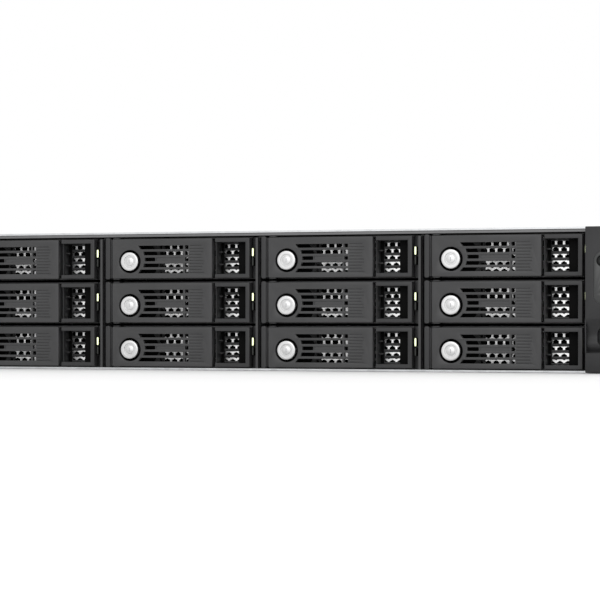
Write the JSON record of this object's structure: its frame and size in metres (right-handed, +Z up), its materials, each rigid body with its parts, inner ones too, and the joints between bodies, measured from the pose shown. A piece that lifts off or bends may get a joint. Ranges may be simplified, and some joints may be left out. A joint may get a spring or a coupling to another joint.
{
  "type": "network attached storage",
  "caption": "Two-unit rack-mount storage server with hot-swap drive trays behind hinged levers, rack ears, redundant power supplies and cooling fans.",
  "frame": {"origin": "middle of the underside of the sheet-metal body", "axes": "+X to the right and +Y to the rear as seen from the front, +Z up"},
  "size_m": [0.4826, 0.5246, 0.088],
  "materials": {
    "chassis_steel": "zinc-coated sheet",
    "cage_steel": "satin dark grey paint",
    "cover_steel": "zinc-coated sheet",
    "screw_steel": "zinc-plated",
    "ear_plastic": "fine matte grain",
    "button_plastic": "satin",
    "light_lens": "clear lens, green",
    "black_screw": "blackened, knurled",
    "circuit_board": "solder mask",
    "fan_plastic": "moulded black",
    "heatsink_aluminium": "extruded",
    "port_metal": "tinned sheet",
    "psu_steel": "zinc-plated sheet",
    "handle_plastic": "moulded black",
    "tray_plastic": "moulded black, fine grain",
    "lever_plastic": "moulded dark grey, satin grain",
    "lock_metal": "satin silver"
  },
  "bodies": {
    "chassis": {"chassis_base": "chassis_steel", "drive_cage": "cage_steel", "front_cover": "cover_steel", "fixing_screws": "screw_steel", "left_ear": "ear_plastic", "right_ear": "ear_plastic", "status_lights": "light_lens", "backplane": "circuit_board", "fan_frames": "fan_plastic", "mainboard": "circuit_board", "cpu_heatsink": "heatsink_aluminium", "memory_modules": "circuit_board", "rear_ports": "port_metal"},
    "rear_lid": {"rear_cover": "cover_steel"},
    "power_key": {"power_button": "button_plastic"},
    "left_rack_screw": {"rack_screw_left": "black_screw"},
    "right_rack_screw": {"rack_screw_right": "black_screw"},
    "rotor_1": {"fan_rotor_1": "fan_plastic"},
    "rotor_2": {"fan_rotor_2": "fan_plastic"},
    "rotor_3": {"fan_rotor_3": "fan_plastic"},
    "supply_1": {"psu_1": "psu_steel"},
    "bail_1": {"psu_handle_1": "handle_plastic"},
    "supply_2": {"psu_2": "psu_steel"},
    "bail_2": {"psu_handle_2": "handle_plastic"},
    "tray_01": {"drive_tray_01": "tray_plastic"},
    "lever_01": {"tray_lever_01": "lever_plastic"},
    "lock_01": {"tray_lock_01": "lock_metal"},
    "tray_02": {"drive_tray_02": "tray_plastic"},
    "lever_02": {"tray_lever_02": "lever_plastic"},
    "lock_02": {"tray_lock_02": "lock_metal"},
    "tray_03": {"drive_tray_03": "tray_plastic"},
    "lever_03": {"tray_lever_03": "lever_plastic"},
    "lock_03": {"tray_lock_03": "lock_metal"},
    "tray_04": {"drive_tray_04": "tray_plastic"},
    "lever_04": {"tray_lever_04": "lever_plastic"},
    "lock_04": {"tray_lock_04": "lock_metal"},
    "tray_05": {"drive_tray_05": "tray_plastic"},
    "lever_05": {"tray_lever_05": "lever_plastic"},
    "lock_05": {"tray_lock_05": "lock_metal"},
    "tray_06": {"drive_tray_06": "tray_plastic"},
    "lever_06": {"tray_lever_06": "lever_plastic"},
    "lock_06": {"tray_lock_06": "lock_metal"},
    "tray_07": {"drive_tray_07": "tray_plastic"},
    "lever_07": {"tray_lever_07": "lever_plastic"},
    "lock_07": {"tray_lock_07": "lock_metal"},
    "tray_08": {"drive_tray_08": "tray_plastic"},
    "lever_08": {"tray_lever_08": "lever_plastic"},
    "lock_08": {"tray_lock_08": "lock_metal"},
    "tray_09": {"drive_tray_09": "tray_plastic"},
    "lever_09": {"tray_lever_09": "lever_plastic"},
    "lock_09": {"tray_lock_09": "lock_metal"},
    "tray_10": {"drive_tray_10": "tray_plastic"},
    "lever_10": {"tray_lever_10": "lever_plastic"},
    "lock_10": {"tray_lock_10": "lock_metal"},
    "tray_11": {"drive_tray_11": "tray_plastic"},
    "lever_11": {"tray_lever_11": "lever_plastic"},
    "lock_11": {"tray_lock_11": "lock_metal"},
    "tray_12": {"drive_tray_12": "tray_plastic"},
    "lever_12": {"tray_lever_12": "lever_plastic"},
    "lock_12": {"tray_lock_12": "lock_metal"}
  },
  "joints": [
    {"name": "tray_slide_01", "type": "slide", "parent": "chassis", "child": "tray_01", "axis": [0, -1, 0], "range_m": [0, 0.19]},
    {"name": "lever_hinge_01", "type": "hinge", "parent": "tray_01", "child": "lever_01", "pos_m": [-0.203, -0.2535, 0.0709], "axis": [0, 0, -1], "range_deg": [0, 58]},
    {"name": "lock_turn_01", "type": "hinge", "parent": "lever_01", "child": "lock_01", "pos_m": [-0.19335, -0.251, 0.0692], "axis": [0, 1, 0], "range_deg": [0, 90]},
    {"name": "rear_lid_lift", "type": "slide", "parent": "chassis", "child": "rear_lid", "axis": [0, 0, 1], "range_m": [0, 0.06]},
    {"name": "power_press", "type": "slide", "parent": "chassis", "child": "power_key", "axis": [0, 1, 0], "range_m": [0, 0.0015], "stiffness_N_per_m": 600},
    {"name": "left_rack_screw_travel", "type": "slide", "parent": "chassis", "child": "left_rack_screw", "axis": [0, -1, 0], "range_m": [0, 0.009]},
    {"name": "right_rack_screw_travel", "type": "slide", "parent": "chassis", "child": "right_rack_screw", "axis": [0, -1, 0], "range_m": [0, 0.009]},
    {"name": "fan_spin_1", "type": "hinge", "parent": "chassis", "child": "rotor_1", "pos_m": [-0.135, -0.044, 0.0419], "axis": [0, 1, 0], "continuous": true},
    {"name": "fan_spin_2", "type": "hinge", "parent": "chassis", "child": "rotor_2", "pos_m": [-0.015, -0.044, 0.0419], "axis": [0, 1, 0], "continuous": true},
    {"name": "fan_spin_3", "type": "hinge", "parent": "chassis", "child": "rotor_3", "pos_m": [0.105, -0.044, 0.0419], "axis": [0, 1, 0], "continuous": true},
    {"name": "supply_slide_1", "type": "slide", "parent": "chassis", "child": "supply_1", "axis": [0, 1, 0], "range_m": [0, 0.2]},
    {"name": "bail_swing_1", "type": "hinge", "parent": "supply_1", "child": "bail_1", "pos_m": [0.1618, 0.2546, 0.037], "axis": [1, 0, 0], "range_deg": [0, 90]},
    {"name": "supply_slide_2", "type": "slide", "parent": "chassis", "child": "supply_2", "axis": [0, 1, 0], "range_m": [0, 0.2]},
    {"name": "bail_swing_2", "type": "hinge", "parent": "supply_2", "child": "bail_2", "pos_m": [0.1618, 0.2546, 0.0794], "axis": [1, 0, 0], "range_deg": [0, 90]},
    {"name": "tray_slide_02", "type": "slide", "parent": "chassis", "child": "tray_02", "axis": [0, -1, 0], "range_m": [0, 0.19]},
    {"name": "lever_hinge_02", "type": "hinge", "parent": "tray_02", "child": "lever_02", "pos_m": [-0.0964, -0.2535, 0.0709], "axis": [0, 0, -1], "range_deg": [0, 58]},
    {"name": "lock_turn_02", "type": "hinge", "parent": "lever_02", "child": "lock_02", "pos_m": [-0.08675, -0.251, 0.0692], "axis": [0, 1, 0], "range_deg": [0, 90]},
    {"name": "tray_slide_03", "type": "slide", "parent": "chassis", "child": "tray_03", "axis": [0, -1, 0], "range_m": [0, 0.19]},
    {"name": "lever_hinge_03", "type": "hinge", "parent": "tray_03", "child": "lever_03", "pos_m": [0.0102, -0.2535, 0.0709], "axis": [0, 0, -1], "range_deg": [0, 58]},
    {"name": "lock_turn_03", "type": "hinge", "parent": "lever_03", "child": "lock_03", "pos_m": [0.01985, -0.251, 0.0692], "axis": [0, 1, 0], "range_deg": [0, 90]},
    {"name": "tray_slide_04", "type": "slide", "parent": "chassis", "child": "tray_04", "axis": [0, -1, 0], "range_m": [0, 0.19]},
    {"name": "lever_hinge_04", "type": "hinge", "parent": "tray_04", "child": "lever_04", "pos_m": [0.1168, -0.2535, 0.0709], "axis": [0, 0, -1], "range_deg": [0, 58]},
    {"name": "lock_turn_04", "type": "hinge", "parent": "lever_04", "child": "lock_04", "pos_m": [0.12645, -0.251, 0.0692], "axis": [0, 1, 0], "range_deg": [0, 90]},
    {"name": "tray_slide_05", "type": "slide", "parent": "chassis", "child": "tray_05", "axis": [0, -1, 0], "range_m": [0, 0.19]},
    {"name": "lever_hinge_05", "type": "hinge", "parent": "tray_05", "child": "lever_05", "pos_m": [-0.203, -0.2535, 0.0427], "axis": [0, 0, -1], "range_deg": [0, 58]},
    {"name": "lock_turn_05", "type": "hinge", "parent": "lever_05", "child": "lock_05", "pos_m": [-0.19335, -0.251, 0.041], "axis": [0, 1, 0], "range_deg": [0, 90]},
    {"name": "tray_slide_06", "type": "slide", "parent": "chassis", "child": "tray_06", "axis": [0, -1, 0], "range_m": [0, 0.19]},
    {"name": "lever_hinge_06", "type": "hinge", "parent": "tray_06", "child": "lever_06", "pos_m": [-0.0964, -0.2535, 0.0427], "axis": [0, 0, -1], "range_deg": [0, 58]},
    {"name": "lock_turn_06", "type": "hinge", "parent": "lever_06", "child": "lock_06", "pos_m": [-0.08675, -0.251, 0.041], "axis": [0, 1, 0], "range_deg": [0, 90]},
    {"name": "tray_slide_07", "type": "slide", "parent": "chassis", "child": "tray_07", "axis": [0, -1, 0], "range_m": [0, 0.19]},
    {"name": "lever_hinge_07", "type": "hinge", "parent": "tray_07", "child": "lever_07", "pos_m": [0.0102, -0.2535, 0.0427], "axis": [0, 0, -1], "range_deg": [0, 58]},
    {"name": "lock_turn_07", "type": "hinge", "parent": "lever_07", "child": "lock_07", "pos_m": [0.01985, -0.251, 0.041], "axis": [0, 1, 0], "range_deg": [0, 90]},
    {"name": "tray_slide_08", "type": "slide", "parent": "chassis", "child": "tray_08", "axis": [0, -1, 0], "range_m": [0, 0.19]},
    {"name": "lever_hinge_08", "type": "hinge", "parent": "tray_08", "child": "lever_08", "pos_m": [0.1168, -0.2535, 0.0427], "axis": [0, 0, -1], "range_deg": [0, 58]},
    {"name": "lock_turn_08", "type": "hinge", "parent": "lever_08", "child": "lock_08", "pos_m": [0.12645, -0.251, 0.041], "axis": [0, 1, 0], "range_deg": [0, 90]},
    {"name": "tray_slide_09", "type": "slide", "parent": "chassis", "child": "tray_09", "axis": [0, -1, 0], "range_m": [0, 0.19]},
    {"name": "lever_hinge_09", "type": "hinge", "parent": "tray_09", "child": "lever_09", "pos_m": [-0.203, -0.2535, 0.0145], "axis": [0, 0, -1], "range_deg": [0, 58]},
    {"name": "lock_turn_09", "type": "hinge", "parent": "lever_09", "child": "lock_09", "pos_m": [-0.19335, -0.251, 0.0128], "axis": [0, 1, 0], "range_deg": [0, 90]},
    {"name": "tray_slide_10", "type": "slide", "parent": "chassis", "child": "tray_10", "axis": [0, -1, 0], "range_m": [0, 0.19]},
    {"name": "lever_hinge_10", "type": "hinge", "parent": "tray_10", "child": "lever_10", "pos_m": [-0.0964, -0.2535, 0.0145], "axis": [0, 0, -1], "range_deg": [0, 58]},
    {"name": "lock_turn_10", "type": "hinge", "parent": "lever_10", "child": "lock_10", "pos_m": [-0.08675, -0.251, 0.0128], "axis": [0, 1, 0], "range_deg": [0, 90]},
    {"name": "tray_slide_11", "type": "slide", "parent": "chassis", "child": "tray_11", "axis": [0, -1, 0], "range_m": [0, 0.19]},
    {"name": "lever_hinge_11", "type": "hinge", "parent": "tray_11", "child": "lever_11", "pos_m": [0.0102, -0.2535, 0.0145], "axis": [0, 0, -1], "range_deg": [0, 58]},
    {"name": "lock_turn_11", "type": "hinge", "parent": "lever_11", "child": "lock_11", "pos_m": [0.01985, -0.251, 0.0128], "axis": [0, 1, 0], "range_deg": [0, 90]},
    {"name": "tray_slide_12", "type": "slide", "parent": "chassis", "child": "tray_12", "axis": [0, -1, 0], "range_m": [0, 0.19]},
    {"name": "lever_hinge_12", "type": "hinge", "parent": "tray_12", "child": "lever_12", "pos_m": [0.1168, -0.2535, 0.0145], "axis": [0, 0, -1], "range_deg": [0, 58]},
    {"name": "lock_turn_12", "type": "hinge", "parent": "lever_12", "child": "lock_12", "pos_m": [0.12645, -0.251, 0.0128], "axis": [0, 1, 0], "range_deg": [0, 90]}
  ]
}
